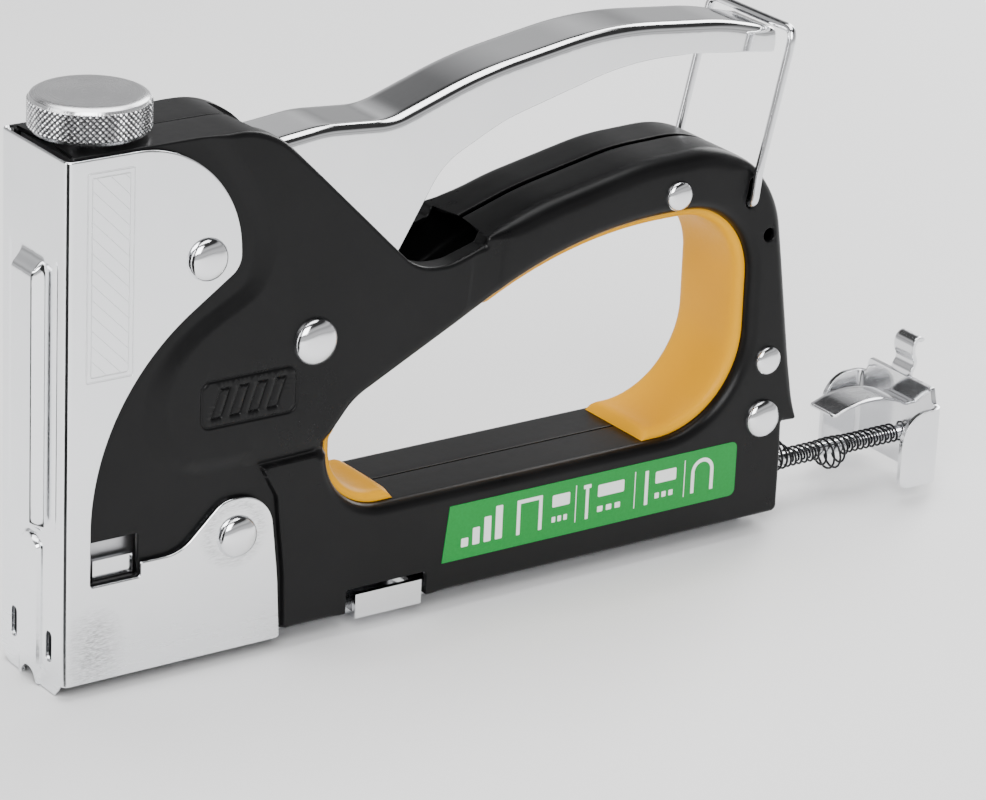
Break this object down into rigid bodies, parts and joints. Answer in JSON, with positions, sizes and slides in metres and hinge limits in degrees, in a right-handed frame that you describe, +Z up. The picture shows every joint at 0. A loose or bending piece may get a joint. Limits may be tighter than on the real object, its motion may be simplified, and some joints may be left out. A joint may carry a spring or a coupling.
{
  "type": "staple gun",
  "caption": "Hand-squeezed heavy-duty staple gun: black pressed-steel body, chrome nose and lever, power knob, wire lock, and a rear follower unit drawn part-way out.",
  "frame": {"origin": "middle of the staple exit slot under the nose, level with the nose tip and the foot of the magazine", "axes": "+X back from the nose along the magazine, +Y to the far side, square to the seam between the shells, +Z up through the knob"},
  "size_m": [0.2324, 0.0318, 0.1231],
  "materials": {
    "black_enamel": "satin",
    "chrome_cover": "polished",
    "chrome_lever": "polished",
    "rivet_chrome": "polished",
    "bright_plated": "bright",
    "plain_steel": "satin",
    "hardened_steel": "ground",
    "spring_steel": "oiled",
    "knob_metal": "knurled satin",
    "brass_bush": "satin",
    "buffer_rubber": "matte",
    "yellow_plastic": "semi-gloss",
    "printed_label": "printed film"
  },
  "bodies": {
    "housing": {"near_shell": "black_enamel", "far_shell": "black_enamel", "nose_cover": "chrome_cover", "driver_guide": "hardened_steel", "plunger_guide": "plain_steel", "top_bracket": "plain_steel", "impact_buffer": "buffer_rubber", "buffer_bracket": "plain_steel", "magazine_channel": "bright_plated", "magazine_bracket": "bright_plated", "grip_insert": "yellow_plastic", "front_grip_insert": "yellow_plastic", "pivot_rivet": "rivet_chrome", "cover_rivets": "rivet_chrome", "body_rivets": "rivet_chrome", "spacer_tubes": "plain_steel", "near_label": "printed_label", "far_label": "printed_label", "pivot_washers": "plain_steel", "knob_washer": "plain_steel"},
    "handle": {"lever": "chrome_lever", "lift_hook": "hardened_steel", "lever_bushing": "brass_bush", "lever_rivets": "plain_steel"},
    "driver": {"plunger": "hardened_steel", "driver_blade": "hardened_steel"},
    "knob": {"power_knob": "knob_metal", "adjusting_screw": "plain_steel", "retaining_clip": "plain_steel"},
    "tension_seat": {"tension_nut": "plain_steel", "main_spring": "spring_steel"},
    "lock_wire": {"lock_wire": "bright_plated"},
    "follower_unit": {"end_cap": "bright_plated", "guide_rod": "bright_plated", "rod_rivet": "bright_plated", "leaf_spring": "bright_plated", "follower_spring": "spring_steel", "rod_tip_washer": "plain_steel"},
    "pusher": {"pusher_block": "bright_plated", "pusher_core": "plain_steel"},
    "latch": {"latch_tab": "bright_plated"}
  },
  "joints": [
    {"name": "handle_pivot", "type": "hinge", "parent": "housing", "child": "handle", "pos_m": [0.0548, 0, 0.0672], "axis": [0, 1, 0], "range_deg": [0, 9], "stiffness_Nm_per_rad": 4, "springref_deg": -17.19},
    {"name": "driver_lift", "type": "slide", "parent": "housing", "child": "driver", "axis": [0, 0, 1], "range_m": [0, 0.007], "deforming": ["main_spring"]},
    {"name": "knob_turn", "type": "hinge", "parent": "housing", "child": "knob", "pos_m": [0.0095, 0, 0.1154], "axis": [0, 0, 1], "range_deg": [-1080, 1080]},
    {"name": "tension_adjust", "type": "slide", "parent": "housing", "child": "tension_seat", "axis": [0, 0, 1], "range_m": [-0.0038, 0.0038]},
    {"name": "lock_wire_swing", "type": "hinge", "parent": "housing", "child": "lock_wire", "pos_m": [0.165, 0, 0.0789], "axis": [0, 1, 0], "range_deg": [0, 75]},
    {"name": "follower_unit_slide", "type": "slide", "parent": "housing", "child": "follower_unit", "axis": [1, 0, 0], "range_m": [-0.044, 0.14]},
    {"name": "pusher_slide", "type": "slide", "parent": "follower_unit", "child": "pusher", "axis": [1, 0, 0], "range_m": [0, 0.085], "stiffness_N_per_m": 30, "springref_m": -0.12, "deforming": ["follower_spring"]},
    {"name": "latch_flex", "type": "hinge", "parent": "follower_unit", "child": "latch", "pos_m": [0.2233, 0, 0.0244], "axis": [0, 1, 0], "range_deg": [-8, 0], "stiffness_Nm_per_rad": 0.3, "springref_deg": 2.86}
  ],
  "couplings": [
    {"joint": "driver_lift", "follows": "handle_pivot", "m_per_rad": 0.0438},
    {"joint": "tension_adjust", "follows": "knob_turn", "m_per_rad": -0.00019894}
  ]
}
